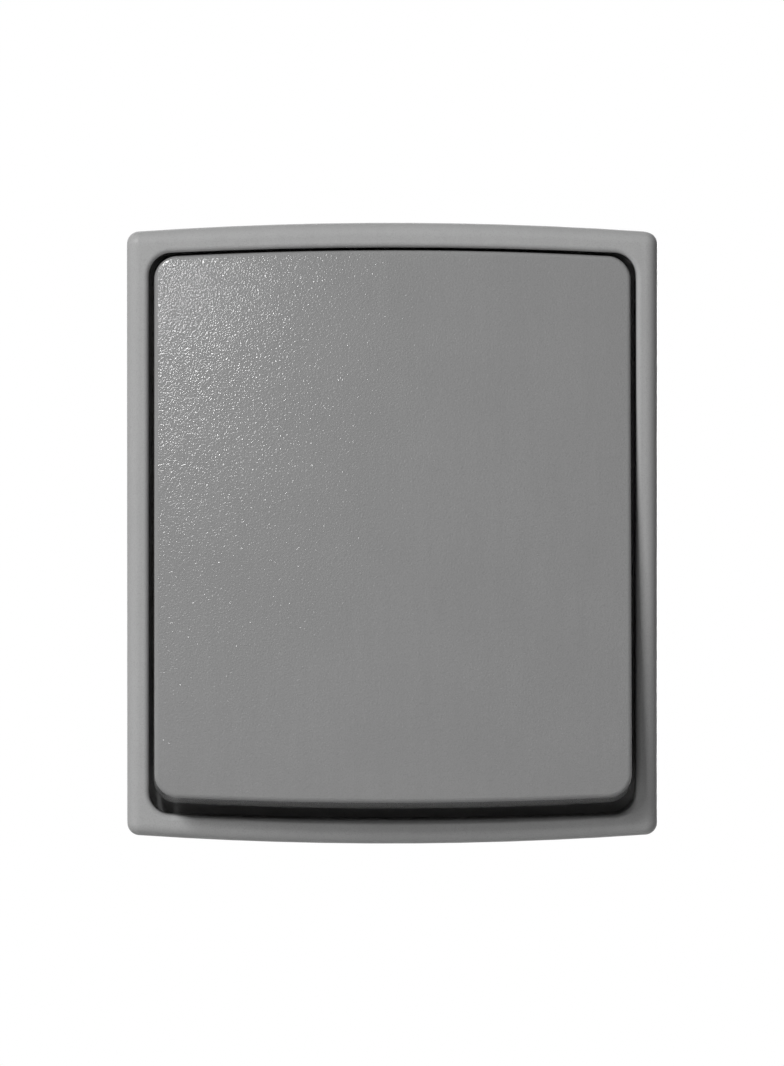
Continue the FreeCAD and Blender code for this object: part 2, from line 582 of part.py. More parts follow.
def ring_outline(sketch, play):
    """The gasket's ring, which follows the frame's outline, narrowed by the play at each side."""
    for name, inset in (
        ("outside", "(Sizes.groove_inset + %s)" % play),
        ("inside", "(Sizes.groove_inset + Sizes.groove_wide - %s)" % play),
    ):
        width = "Sizes.frame_width - 2 * " + inset
        tall = "Sizes.frame_tall - 2 * " + inset
        bowed_outline(sketch, name, width, tall, "Sizes.frame_bow")


# Wall gasket: foam rubber ring in the groove, pressed to the wall

def make_gasket():
    body = new_body("wall_gasket")
    ring = front_sketch(body, "gasket_outline", "0")
    ring_outline(ring, "Sizes.gasket_play")
    pad(body, ring, "gasket_ring", "Sizes.frame_stand + Sizes.groove_deep")
    return body


# Rocker: crowned cap with drafted walls, hollow behind, with ribs and a socket for the cradle

def skirt_size(front, inset):
    """Width and height of the rocker's walls at a distance in front of the wall."""
    rise = "(%s - %s)" % (front, SKIRT_BACK)
    width = "(%s - 2 * %s * tan(Sizes.side_draft) - 2 * (%s))" % (SKIRT_WIDTH, rise, inset)
    tall = "(%s - 2 * %s * tan(Sizes.end_draft) - 2 * (%s))" % (SKIRT_TALL, rise, inset)
    return width, tall


def crown_centre(plate):
    """How far behind the wall plane the axis of the crown lies, and the crown's radius."""
    half = "(%s / 2)" % SKIRT_WIDTH
    radius = "((%s^2 + Sizes.rocker_crown^2) / (2 * Sizes.rocker_crown))" % half
    return "(%s - %s)" % (FACE_FRONT, radius), "(%s - %s)" % (radius, plate)


def make_rocker():
    body = new_body("rocker")
    levels = (("back", SKIRT_BACK), ("face", FACE_FRONT))
    walls = []
    for name, front in levels:
        width, tall = skirt_size(front, "0")
        outline = front_sketch(body, "rocker_%s_outline" % name, front)
        bowed_outline(outline, name, width, tall, "Sizes.rocker_bow")
        walls.append(outline)
    block = body.newObject("PartDesign::AdditiveLoft", "rocker_block")
    block.Profile = walls[0]
    block.Sections = [walls[1]]
    block.Ruled = True
    doc.recompute()
    half = value(SKIRT_WIDTH) / 2
    fillet(
        body, "rocker_corners", "Sizes.rocker_corner",
        lambda e: e.BoundBox.YLength > value("Sizes.rocker_skirt") / 2
        and e.BoundBox.XMax * e.BoundBox.XMin > 0,
    )

    centre, radius = crown_centre("0")
    past = "(%s / 2 + Sizes.rocker_wall)" % SKIRT_WIDTH
    edge = "(%s + sqrt(%s^2 - %s^2))" % (centre, radius, past)
    above = "(%s + Sizes.rocker_wall)" % FACE_FRONT
    crown = level_sketch(body, "crown_outline")
    loop(crown, "crown", [
        ("-" + past, above),
        ("-" + past, edge, "0", centre, False),
        (past, edge),
        (past, above),
    ])
    pocket(body, crown, "face_crown", SKIRT_TALL, both_ways=True)
    face_low = -value("%s - Sizes.rocker_crown - Sizes.rocker_edge / 2" % FACE_FRONT)
    fillet(
        body, "face_rounding", "Sizes.rocker_edge",
        lambda e: e.BoundBox.YMax < face_low and e.BoundBox.Center.Length > half / 2,
    )

    roof_edge = "(%s - Sizes.rocker_crown - Sizes.rocker_plate)" % FACE_FRONT
    hollow = []
    for name, front in (("hollow_back", SKIRT_BACK), ("hollow_roof", roof_edge)):
        width, tall = skirt_size(front, "Sizes.rocker_wall")
        outline = front_sketch(body, name + "_outline", front)
        bowed_outline(outline, name, width, tall, "Sizes.rocker_bow")
        hollow.append(outline)
    cut = body.newObject("PartDesign::SubtractiveLoft", "rocker_hollow")
    cut.Profile = hollow[0]
    cut.Sections = [hollow[1]]
    cut.Ruled = True
    doc.recompute()

    centre, radius = crown_centre("Sizes.rocker_plate")
    width, tall = skirt_size(roof_edge, "Sizes.rocker_wall")
    side = "(%s / 2)" % width
    spring_line = "(%s + sqrt(%s^2 - %s^2))" % (centre, radius, side)
    roof = level_sketch(body, "roof_outline")
    loop(roof, "roof", [
        ("-" + side, roof_edge + " - Sizes.rib_bite"),
        ("-" + side, spring_line, "0", centre, False),
        (side, spring_line),
        (side, roof_edge + " - Sizes.rib_bite"),
    ])
    pocket(body, roof, "roof_crown", "%s - 2 * Sizes.rocker_bow" % tall, both_ways=True)

    rib_front = "(%s - Sizes.rocker_crown - Sizes.rib_bite)" % FACE_FRONT
    rib_back = "(%s - Sizes.rib_lift)" % FACE_FRONT
    socket_half = "(Sizes.head_wide / 2 + Sizes.socket_play)"
    rib_place = "(%s + Sizes.socket_wall / 2)" % socket_half
    inner_width, inner_tall = skirt_size(SKIRT_BACK, "Sizes.rocker_wall - Sizes.rib_bite")
    thick = "Sizes.rib_thick / 2"
    upright = front_sketch(body, "upright_rib_outline", rib_back)
    rectangle(
        upright, "upright", "%s - %s" % (rib_place, thick), "%s + %s" % (rib_place, thick),
        "-%s / 2" % inner_tall, "%s / 2" % inner_tall,
    )
    rib = pad(body, upright, "upright_rib", "%s - %s" % (rib_front, rib_back))
    mirror(body, rib, "upright_rib_left", "YZ_Plane")
    for name, place in (
        ("socket", rib_place), ("inner", "Sizes.rib_inner"), ("outer", "Sizes.rib_outer"),
    ):
        cross = front_sketch(body, name + "_rib_outline", rib_back)
        rectangle(
            cross, name, "-%s / 2" % inner_width, "%s / 2" % inner_width,
            "%s - %s" % (place, thick), "%s + %s" % (place, thick),
        )
        rib = pad(body, cross, name + "_rib", "%s - %s" % (rib_front, rib_back))
        mirror(body, rib, name + "_rib_low", "XY_Plane")

    socket_back = "(%s - Sizes.socket_lift)" % FACE_FRONT
    socket = front_sketch(body, "socket_outline", socket_back)
    outside = "2 * (%s + Sizes.socket_wall)" % socket_half
    centred_rectangle(socket, "socket_outside", outside, outside)
    pad(body, socket, "socket_block", "%s - %s" % (rib_front, socket_back))
    well = front_sketch(body, "well_outline", socket_back)
    centred_rectangle(well, "well", "2 * " + socket_half, "2 * " + socket_half)
    well_deep = "Sizes.socket_lift - Sizes.rocker_plate"
    pocket(body, well, "socket_well", well_deep, reverse=True)
    latches = level_sketch(body, "latch_window_outline")
    wide = "(Sizes.latch_wide / 2 + Sizes.latch_play)"
    rectangle(
        latches, "latch_window", "-" + wide, wide,
        LATCH_BACK + " - Sizes.latch_play", LATCH_FRONT + " + Sizes.latch_play",
    )
    pocket(body, latches, "latch_windows", outside + " + Sizes.latch_play", both_ways=True)
    turn_about(body, "Sizes.pivot_depth", "-Sizes.half_tilt")
    return body


# Cradle: the rocker's carrier, with trunnions in the lugs and a bored leg for the plunger

def make_cradle():
    body = new_body("cradle")
    neck = front_sketch(body, "neck_outline", "Sizes.neck_back")
    circle(neck, "neck", "Sizes.neck_radius")
    pad(body, neck, "neck", "Sizes.neck_front - Sizes.neck_back")
    head = front_sketch(body, "head_outline", "Sizes.neck_front")
    centred_rectangle(head, "head", "Sizes.head_wide", "Sizes.head_wide")
    head_front = "(%s - Sizes.rocker_plate - Sizes.head_gap)" % FACE_FRONT
    pad(body, head, "head", head_front + " - Sizes.neck_front")
    chamfer(body, "head_chamfer", "Sizes.head_round", lambda e: in_front(e, head_front))
    latch = side_sketch(body, "latch_outline")
    loop(latch, "latch", [
        ("-" + LATCH_FRONT, "Sizes.head_wide / 2"),
        ("-" + LATCH_BACK, "Sizes.head_wide / 2 + Sizes.latch_tall"),
        ("-" + LATCH_BACK, "Sizes.head_wide / 2"),
    ])
    latch = pad(body, latch, "latch", "Sizes.latch_wide", both_ways=True)
    mirror(body, latch, "latch_low", "XY_Plane")
    hub = depth_sketch(body, "hub_outline", "Sizes.hub_depth")
    centred_rectangle(hub, "hub", "Sizes.hub_wide", "Sizes.hub_tall")
    pad(body, hub, "hub", "Sizes.hub_depth + Sizes.neck_back")
    leg = depth_sketch(body, "leg_outline", "Sizes.leg_depth")
    centred_rectangle(leg, "leg", "Sizes.leg_wide", "Sizes.leg_tall")
    pad(body, leg, "leg", "Sizes.leg_depth - Sizes.hub_depth")
    chamfer(body, "leg_chamfer", "Sizes.head_round", lambda e: in_front(e, "-Sizes.leg_depth"))
    trunnions = side_sketch(body, "trunnion_outline")
    circle(trunnions, "trunnion", "Sizes.pin_radius", "Sizes.pivot_depth")
    pad(body, trunnions, "trunnions", "2 * (%s - Sizes.pin_inset)" % LUG_OUTER, both_ways=True)
    bore = depth_sketch(body, "bore_outline", "Sizes.leg_depth")
    circle(bore, "bore", "Sizes.leg_bore")
    pocket(body, bore, "plunger_bore", "Sizes.bore_length", reverse=True)
    turn_about(body, "Sizes.pivot_depth", "-Sizes.half_tilt")
    return body


# Plunger and its spring, which ride in the cradle's leg

def make_plunger():
    body = new_body("plunger")
    guide = "(Sizes.leg_bore - Sizes.plunger_play)"
    shoulder = "-(Sizes.leg_depth - Sizes.plunger_reach)"
    start = "-(Sizes.leg_depth - Sizes.plunger_reach - Sizes.plunger_guide)"
    ball = "-(%s - Sizes.nose_radius)" % NOSE_TIP
    profile = level_sketch(body, "plunger_profile")
    loop(profile, "plunger", [
        ("0", start),
        ("0", "-" + NOSE_TIP, "0", ball, True),
        ("Sizes.nose_radius", ball),
        ("Sizes.nose_radius", shoulder),
        (guide, shoulder),
        (guide, start),
    ])
    revolve(body, profile, "plunger_turning", "V_Axis")
    turn_about(body, "Sizes.pivot_depth", "-Sizes.half_tilt")
    return body


# The round spring wire as an octagon, its corners in degrees
WIRE_CORNERS = range(0, 360, 45)


def make_plunger_spring():
    body = new_body("plunger_spring")
    wire = "(Sizes.spring_wire / 2)"
    coil = "(Sizes.leg_bore - Sizes.spring_play - %s)" % wire
    back = "(Sizes.leg_depth - Sizes.plunger_reach - Sizes.plunger_guide - Sizes.spring_wire)"
    front = "(Sizes.leg_depth - Sizes.bore_length + Sizes.spring_wire)"
    section = level_sketch(body, "wire_section")
    loop(section, "wire", [
        ("%s + %s * cos(%d)" % (coil, wire, angle), "%s * sin(%d) - %s" % (wire, angle, back))
        for angle in WIRE_CORNERS
    ])
    helix = body.newObject("PartDesign::AdditiveHelix", "coils")
    helix.Profile = section
    helix.ReferenceAxis = (section, ["V_Axis"])
    helix.Mode = "height-turns-angle"
    helix.setExpression("Height", "%s - %s" % (back, front))
    helix.setExpression("Turns", "Sizes.spring_turns")
    doc.recompute()
    turn_about(body, "Sizes.pivot_depth", "-Sizes.half_tilt")
    return body


# Membrane: rubber diaphragm with a clamped flange, a rolled wave and a sleeve round the neck

# The half round of the wave as flats, its corners in degrees
WAVE_CORNERS = range(0, 181, 30)


def wave(radius, corners):
    """Corners of the wave's section, from one foot over the crest to the other."""
    return [
        ("Sizes.roll_place + %s * cos(%d)" % (radius, angle),
         "%s + %s * sin(%d)" % (FLANGE_FRONT, radius, angle))
        for angle in corners
    ]


def make_membrane():
    """The sleeve leans with the cradle's neck, as the rubber does when the rocker rests at a stop."""
    body = new_body("membrane")
    back = "(%s - Sizes.skin_thick)" % FLANGE_FRONT
    lean = "((%s + Sizes.pivot_depth) * sin(Sizes.half_tilt))" % FLANGE_FRONT
    eye = "(Sizes.neck_radius + Sizes.sleeve_play + %s)" % lean
    inner_roll = "(Sizes.roll_outer - Sizes.skin_thick)"
    profile = level_sketch(body, "membrane_profile")
    loop(profile, "membrane", [
        (eye, back),
        ("Sizes.roll_place - " + inner_roll, back),
        *reversed(wave(inner_roll, WAVE_CORNERS)),
        ("Sizes.roll_place + " + inner_roll, FLOOR_FRONT),
        ("Sizes.flange_radius", FLOOR_FRONT),
        ("Sizes.flange_radius", FLANGE_FRONT),
        *wave("Sizes.roll_outer", WAVE_CORNERS),
        (eye, FLANGE_FRONT),
    ])
    revolve(body, profile, "membrane_turning", "V_Axis")

    bore = "(Sizes.neck_radius + Sizes.sleeve_play)"
    outside = "(%s + Sizes.sleeve_thick)" % bore
    sleeve = new_sketch(body, "sleeve_profile", "XY_Plane", "0")
    sleeve.AttachmentOffset = Placement(Vector(), Rotation(Vector(1, 0, 0), 180))
    offset = ".AttachmentOffset."
    turn = "Sizes.pivot_depth * "
    sleeve.setExpression(offset + "Base.y", turn + "(1 - cos(Sizes.half_tilt))")
    sleeve.setExpression(offset + "Base.z", turn + "sin(Sizes.half_tilt)")
    sleeve.setExpression(offset + "Rotation.Angle", "180 - Sizes.half_tilt")
    loop(sleeve, "sleeve", [
        (bore, back),
        (outside, back),
        (outside, "Sizes.sleeve_front"),
        (bore, "Sizes.sleeve_front"),
    ])
    revolve(body, sleeve, "sleeve_turning", "V_Axis")
    return body


# Retainer: plate that clamps the membrane's flange to the frame's floor

def make_retainer():
    body = new_body("membrane_retainer")
    outline = front_sketch(body, "retainer_outline", FLANGE_FRONT)
    centred_rectangle(outline, "retainer", "Sizes.retainer_wide", RETAINER_TALL)
    pad(body, outline, "retainer_plate", "Sizes.retainer_thick")
    half = value("Sizes.retainer_wide") / 2
    fillet(body, "retainer_corners", "Sizes.retainer_corner", lambda e: runs_back(e, half))
    chamfer(body, "retainer_edge", "Sizes.plate_bevel", lambda e: in_front(e, RETAINER_FRONT))
    feet = front_sketch(body, "feet_outline", FLOOR_FRONT)
    for name, up in both_sides(SCREW_PLACE):
        circle(feet, name + "_foot", "Sizes.retainer_foot", "0", up)
    pad(body, feet, "retainer_feet", "Sizes.flange_thick")
    holes = front_sketch(body, "retainer_holes_outline", RETAINER_FRONT)
    circle(holes, "centre_hole", "Sizes.retainer_hole")
    for name, up in both_sides(SCREW_PLACE):
        circle(holes, name + "_screw", SCREW_HOLE, "0", up)
    pocket(body, holes, "retainer_holes", "Sizes.retainer_thick + Sizes.flange_thick")
    return body


# Frame screws with their seal rings

def upright_pair(name, label, points):
    """Two equal turned pieces on the frame screws' axes, from one half section.
    The points are (distance in front of the wall, radius)."""
    body = new_body(name)
    profile = new_sketch(body, label + "_profile", "YZ_Plane", "0")
    profile.setExpression(".AttachmentOffset.Base.y", SCREW_PLACE)
    loop(profile, label, [("-(%s)" % front, radius) for front, radius in points])
    first = revolve(body, profile, label + "_turning", "H_Axis")
    mirror(body, first, label + "_low", "XY_Plane")
    return body


def make_frame_screws():
    seat = "(%s + Sizes.washer_thick)" % RETAINER_FRONT
    top = "(%s + Sizes.screw_head_tall)" % seat
    edge = "(Sizes.screw_head - Sizes.screw_bevel)"
    shoulder = "(%s - Sizes.screw_bevel)" % top
    return upright_pair("frame_screws", "screw", [
        ("-Sizes.screw_end", "0"),
        ("-Sizes.screw_end", "Sizes.screw_tip"),
        ("-(Sizes.screw_end - Sizes.screw_bevel)", "Sizes.screw_radius"),
        (seat, "Sizes.screw_radius"),
        (seat, "Sizes.screw_head"),
        (shoulder, "Sizes.screw_head"),
        (top, edge),
        (top, "0"),
    ])


def make_seal_rings():
    front = "(%s + Sizes.washer_thick)" % RETAINER_FRONT
    bore = "(Sizes.screw_radius + Sizes.washer_play)"
    return upright_pair("screw_seal_rings", "seal", [
        (RETAINER_FRONT, bore),
        (RETAINER_FRONT, "Sizes.washer_radius"),
        (front, "Sizes.washer_radius"),
        (front, bore),
    ])


# Support ring: pressed steel plate that the box screws hold on the wall box

def make_support_ring():
    body = new_body("support_ring")
    outline = front_sketch(body, "ring_outline", "0")
    centred_rectangle(outline, "ring", RING_WIDE, "Sizes.ring_tall")
    pad(body, outline, "ring_plate", "Sizes.ring_thick")
    half = value(RING_WIDE) / 2
    chamfer(
        body, "ring_corners", "Sizes.ring_chamfer",
        lambda e: e.BoundBox.YLength > TINY and runs_back(e, half),
    )
    collars = depth_sketch(body, "collar_outline", "Sizes.collar_long")
    for name, up in both_sides(SCREW_PLACE):
        circle(collars, name + "_collar", "Sizes.collar_radius", "0", up)
    pad(body, collars, "screw_collars", "Sizes.collar_long")
    window = front_sketch(body, "window_outline", "Sizes.ring_thick")
    centred_rectangle(window, "window", RING_WINDOW, RING_WINDOW)
    for name, across in both_sides(BOX_SCREW_PLACE):
        slot(window, name + "_slot", across, "Sizes.slot_long", "Sizes.slot_radius")
    for name, up in both_sides("(Sizes.ring_tall / 2 - Sizes.slot_inset)"):
        for side, across in both_sides("Sizes.spare_place"):
            circle(window, name + side + "_spare", "Sizes.spare_radius", across, up)
    pocket(body, window, "ring_window", "Sizes.ring_thick")
    threads = front_sketch(body, "thread_outline", "Sizes.ring_thick")
    for name, up in both_sides(SCREW_PLACE):
        circle(threads, name, "Sizes.screw_radius + Sizes.screw_thread_play", "0", up)
    pocket(body, threads, "screw_threads", "Sizes.ring_thick + Sizes.collar_long")
    half = value(RING_WINDOW) / 2
    fillet(body, "window_corners", "Sizes.window_corner", lambda e: runs_back(e, half))
    return body


# Insert cover: flange in front of the ring, with the bearing lugs and the posts behind it

def make_insert_cover():
    body = new_body("insert_cover")
    flange = front_sketch(body, "flange_outline", "Sizes.ring_thick")
    centred_rectangle(flange, "flange", COVER_WIDE, COVER_WIDE)
    pad(body, flange, "cover_flange", "Sizes.cover_thick")
    half = value(COVER_WIDE) / 2
    fillet(body, "cover_corners", "Sizes.cover_corner", lambda e: runs_back(e, half))
    chamfer(body, "cover_edge", "Sizes.plate_bevel", lambda e: in_front(e, COVER_FRONT))
    collar = front_sketch(body, "collar_outline", "0")
    collar_wide = "%s - 2 * Sizes.collar_gap" % RING_WINDOW
    centred_rectangle(collar, "collar", collar_wide, collar_wide)
    pad(body, collar, "cover_collar", "Sizes.ring_thick")
    half = value(collar_wide) / 2
    fillet(body, "collar_corners", "Sizes.window_corner", lambda e: runs_back(e, half))

    window = front_sketch(body, "cover_window_outline", COVER_FRONT)
    centred_rectangle(window, "window", "2 * " + LUG_INNER, "Sizes.cover_window")
    pocket(body, window, "cover_window", COVER_FRONT)

    lugs = depth_sketch(body, "lug_outline", "Sizes.lug_depth")
    rise = "Sizes.lug_tall / 2"
    rectangle(lugs, "right_lug", LUG_INNER, LUG_OUTER, "-" + rise, rise)
    rectangle(lugs, "left_lug", "-" + LUG_OUTER, "-" + LUG_INNER, "-" + rise, rise)
    pad(body, lugs, "lugs", "Sizes.lug_depth + Sizes.ring_thick")
    bearing = side_sketch(body, "bearing_outline")
    circle(bearing, "bearing", "Sizes.pin_radius + Sizes.pin_play", "Sizes.pivot_depth")
    pocket(body, bearing, "bearings", "2 * %s + 2 * Sizes.lug_gap" % LUG_OUTER, both_ways=True)
    snap = side_sketch(body, "snap_outline")
    rise = "Sizes.lug_slot / 2"
    rectangle(snap, "snap", "Sizes.pivot_depth", "Sizes.lug_depth", "-" + rise, rise)
    pocket(body, snap, "snap_slots", "2 * %s + 2 * Sizes.lug_gap" % LUG_OUTER, both_ways=True)

    reach = "(Sizes.leaf_front - Sizes.leaf_thick / 2 - Sizes.presser_gap)"
    posts = depth_sketch(body, "post_outline", reach)
    inner = "(%s + Sizes.presser_place)" % LUG_OUTER
    outer = "(%s + Sizes.presser_wide)" % inner
    rise = "Sizes.presser_tall / 2"
    rectangle(posts, "right_post", inner, outer, "-" + rise, rise)
    for name, place in both_sides(BAR_PLACE):
        low = "%s - %s" % (place, rise)
        high = "%s + %s" % (place, rise)
        rectangle(posts, name + "_post", "-" + outer, "-" + inner, low, high)
    pad(body, posts, "spring_posts", reach)

    holes = front_sketch(body, "cover_holes_outline", COVER_FRONT)
    hole_radius = "(Sizes.pilot_radius + Sizes.tapper_hole_play)"
    for name, up in both_sides(PILOT_UP):
        for side, across in both_sides(PILOT_ACROSS):
            circle(holes, name + side, hole_radius, across, up)
    pocket(body, holes, "cover_holes", COVER_FRONT)
    limit = 2 * value(hole_radius) + TINY
    chamfer(
        body, "countersinks", "Sizes.tapper_head - Sizes.pilot_radius + Sizes.tapper_play",
        lambda e: in_front(e, COVER_FRONT) and e.BoundBox.XLength < limit
        and e.BoundBox.ZLength < limit and abs(e.BoundBox.XLength - e.BoundBox.ZLength) < TINY,
    )
    return body


def make_cover_screws():
    body = new_body("cover_screws")
    shank = "(Sizes.pilot_radius - Sizes.tapper_play)"
    under = "(%s - (Sizes.tapper_head - %s))" % (COVER_FRONT, shank)
    for name, up in both_sides(PILOT_UP):
        for side, across in both_sides(PILOT_ACROSS):
            label = "tapper_%s_%s" % (name, side)
            profile = new_sketch(body, label + "_profile", "YZ_Plane", across)
            profile.setExpression(".AttachmentOffset.Base.y", up)
            loop(profile, "tapper", [
                ("-" + COVER_FRONT, "0"),
                ("-" + COVER_FRONT, "Sizes.tapper_head"),
                ("-" + under, shank),
                ("Sizes.tapper_long - " + shank, shank),
                ("Sizes.tapper_long", "0"),
            ])
            revolve(body, profile, label, "H_Axis")
    return body


# Insert base: chambers for the lever and the terminals, wire entries and buttons at the back

TERMINALS = (
    ("common", "", "0"),
    ("upper", "-", BAR_PLACE),
    ("lower", "-", "-" + BAR_PLACE),
)


def across_pair(sign, inner, outer):
    """The left and right bounds of a span that lies on the side that the sign gives."""
    return ("-" + outer, "-" + inner) if sign else (inner, outer)


def make_insert_base():
    body = new_body("insert_base")
    outline = front_sketch(body, "base_outline", "0")
    centred_rectangle(outline, "base", "Sizes.base_wide", "Sizes.base_wide")
    pad(body, outline, "base_block", "Sizes.base_deep", reverse=True)
    half = value("Sizes.base_wide") / 2
    chamfer(body, "base_corners", "Sizes.base_chamfer", lambda e: runs_back(e, half))
    chamfer(body, "base_back_edge", "Sizes.base_bevel", lambda e: in_front(e, "-Sizes.base_deep"))

    recess = front_sketch(body, "recess_outline", "0")
    centred_rectangle(recess, "recess", "2 * " + CELL_OUTER, "2 * " + CELL_TOP)
    pocket(body, recess, "front_recess", "Sizes.partition_depth")
    centre = front_sketch(body, "centre_outline", "0")
    centred_rectangle(centre, "centre", "Sizes.centre_wide", CENTRE_TALL)
    pocket(body, centre, "centre_chamber", "Sizes.centre_deep")
    cells = front_sketch(body, "cell_outline", "0")
    gap = "Sizes.divider / 2"
    rectangle(cells, "right_cell", BAR_INNER, CELL_OUTER, "-" + CELL_TOP, CELL_TOP)
    rectangle(cells, "high_cell", "-" + CELL_OUTER, "-" + BAR_INNER, gap, CELL_TOP)
    rectangle(cells, "low_cell", "-" + CELL_OUTER, "-" + BAR_INNER, "-" + CELL_TOP, "-" + gap)
    pocket(body, cells, "terminal_cells", CELL_DEEP)

    slots = front_sketch(body, "finger_slot_outline", "0")
    rise = "(Sizes.finger_tall / 2 + Sizes.finger_play)"
    for name, sign, place in TERMINALS:
        finger = finger_place(name)
        left, right = across_pair(sign, "(Sizes.centre_wide / 2)", BAR_INNER)
        rectangle(slots, name, left, right, "%s - %s" % (finger, rise), "%s + %s" % (finger, rise))
    pocket(body, slots, "finger_slots", "Sizes.centre_deep")

    entries = front_sketch(body, "entry_outline", "0")
    for name, sign, place in TERMINALS:
        for side, spread in both_sides(WIRE_SPREAD):
            circle(entries, name + side, "Sizes.wire_radius", sign + WIRE_PLACE, place + " + " + spread)
    pocket(body, entries, "wire_entries", "Sizes.base_deep")
    limit = 2 * value("Sizes.wire_radius") + TINY
    chamfer(
        body, "entry_funnels", "Sizes.entry_funnel",
        lambda e: in_front(e, "-Sizes.base_deep") and e.BoundBox.XLength < limit
        and abs(e.BoundBox.XLength - e.BoundBox.ZLength) < TINY,
    )
    windows = front_sketch(body, "button_window_outline", "0")
    half_wide = "(%s / 2 + Sizes.button_play)" % BUTTON_WIDE
    half_tall = "(Sizes.button_tall / 2 + Sizes.button_play)"
    for name, sign, place in TERMINALS:
        middle = sign + BUTTON_PLACE
        rectangle(
            windows, name, "%s - %s" % (middle, half_wide), "%s + %s" % (middle, half_wide),
            "%s - %s" % (place, half_tall), "%s + %s" % (place, half_tall),
        )
    pocket(body, windows, "button_windows", "Sizes.base_deep")

    pilots = front_sketch(body, "pilot_outline", "0")
    for name, up in both_sides(PILOT_UP):
        for side, across in both_sides(PILOT_ACROSS):
            circle(pilots, name + side, "Sizes.pilot_radius", across, up)
    pocket(body, pilots, "pilot_holes", "Sizes.pilot_deep")
    cores = front_sketch(body, "core_outline", "0")
    wide = "(Sizes.base_wide / 2 - Sizes.core_inset)"
    for name, place in both_sides("(%s / 2 + Sizes.partition + Sizes.core_tall / 2)" % CENTRE_TALL):
        rectangle(
            cores, name, "-" + wide, wide,
            "%s - Sizes.core_tall / 2" % place, "%s + Sizes.core_tall / 2" % place,
        )
    pocket(body, cores, "cored_pockets", "Sizes.core_deep")
    gauge = depth_sketch(body, "gauge_outline", "Sizes.base_deep")
    rectangle(
        gauge, "gauge", "-Sizes.gauge_wide / 2", "Sizes.gauge_wide / 2",
        "-Sizes.base_wide / 2", "-Sizes.base_wide / 2 + Sizes.gauge_deep",
    )
    pocket(body, gauge, "strip_gauge", "Sizes.gauge_long", reverse=True)
    return body


# Terminals: brass strips, each a clamping bar in a side chamber and a finger to the middle

def finger_place(name):
    """Height of a terminal's finger: at the knife edge, or behind one of the lever's contacts."""
    return {
        "common": "0",
        "upper": "Sizes.contact_place",
        "lower": "-Sizes.contact_place",
    }[name]


def make_terminal(name, sign, place):
    body = new_body("terminal_" + name)
    finger = finger_place(name)
    bar = depth_sketch(body, "bar_outline", "Sizes.centre_deep")
    left, right = across_pair(sign, BAR_INNER, BAR_OUTER)
    rise = BAR_TALL + " / 2"
    rectangle(bar, "bar", left, right, "%s - %s" % (place, rise), "%s + %s" % (place, rise))
    pad(body, bar, "clamping_bar", "Sizes.centre_deep - Sizes.bar_depth")
    strip = depth_sketch(body, "finger_outline", "Sizes.centre_deep")
    ends = ("-Sizes.finger_reach", BAR_OUTER) if not sign else ("-" + BAR_OUTER, "Sizes.finger_reach")
    rise = "Sizes.finger_tall / 2"
    low = "%s - %s" % (finger, rise)
    high = "%s + %s" % (finger, rise)
    rectangle(strip, "finger", ends[0], ends[1], low, high)
    pad(body, strip, "finger", "Sizes.strip_thick")
    outer = value(BAR_OUTER)
    fillet(
        body, "bend", "Sizes.strip_thick",
        lambda e: in_front(e, "-Sizes.centre_deep") and e.BoundBox.XLength < TINY
        and abs(abs(e.BoundBox.XMin) - outer) < TINY,
    )
    if name == "common":
        upright = depth_sketch(body, "tongue_outline", FINGER_FRONT)
        centred_rectangle(upright, "tongue", "Sizes.knife_wide", "2 * Sizes.knife_radius")
        pad(body, upright, "tongue", FINGER_FRONT + " - Sizes.knife_depth")
        knife = side_sketch(body, "knife_outline")
        circle(knife, "knife", "Sizes.knife_radius", "Sizes.knife_depth")
        pad(body, knife, "knife_edge", "Sizes.knife_wide", both_ways=True)
    return body


# Contact lever, which rocks on the knife edge, and the silver contacts

def contact_discs(body, label, depth, radius, thick):
    """Two discs at the contacts' places, in front of a depth."""
    discs = depth_sketch(body, label + "_outline", depth)
    for name, up in both_sides("Sizes.contact_place"):
        circle(discs, name + "_" + label, radius, "0", up)
    return pad(body, discs, label, thick)


def make_contact_lever():
    body = new_body("contact_lever")
    outline = depth_sketch(body, "lever_outline", "Sizes.knife_depth")
    centred_rectangle(outline, "lever", "Sizes.lever_wide", "Sizes.lever_tall")
    pad(body, outline, "lever_plate", "Sizes.lever_thick")
    half = value("Sizes.lever_wide") / 2
    fillet(body, "lever_corners", "Sizes.lever_corner", lambda e: runs_back(e, half))
    groove = side_sketch(body, "groove_outline")
    circle(groove, "groove", "Sizes.knife_radius + Sizes.knife_play", "Sizes.knife_depth")
    pocket(body, groove, "knife_groove", "2 * Sizes.lever_wide", both_ways=True)
    turn_about(body, "Sizes.knife_depth", "Sizes.lever_tilt")
    return body


def make_moving_contacts():
    body = new_body("moving_contacts")
    back = "(Sizes.knife_depth + Sizes.tip_thick)"
    contact_discs(body, "moving_contact", back, "Sizes.tip_radius", "Sizes.tip_thick")
    chamfer(body, "contact_dome", "Sizes.tip_chamfer", lambda e: in_front(e, "-" + back))
    turn_about(body, "Sizes.knife_depth", "Sizes.lever_tilt")
    return body


def make_fixed_contacts():
    body = new_body("fixed_contacts")
    contact_discs(body, "fixed_contact", FINGER_FRONT, "Sizes.seat_radius", "Sizes.seat_thick")
    front = "(%s - Sizes.seat_thick)" % FINGER_FRONT
    chamfer(body, "contact_edge", "Sizes.seat_chamfer", lambda e: in_front(e, "-" + front))
    return body


# Clamp springs: leaf springs bent back on themselves, whose tip grips a wire on the bar

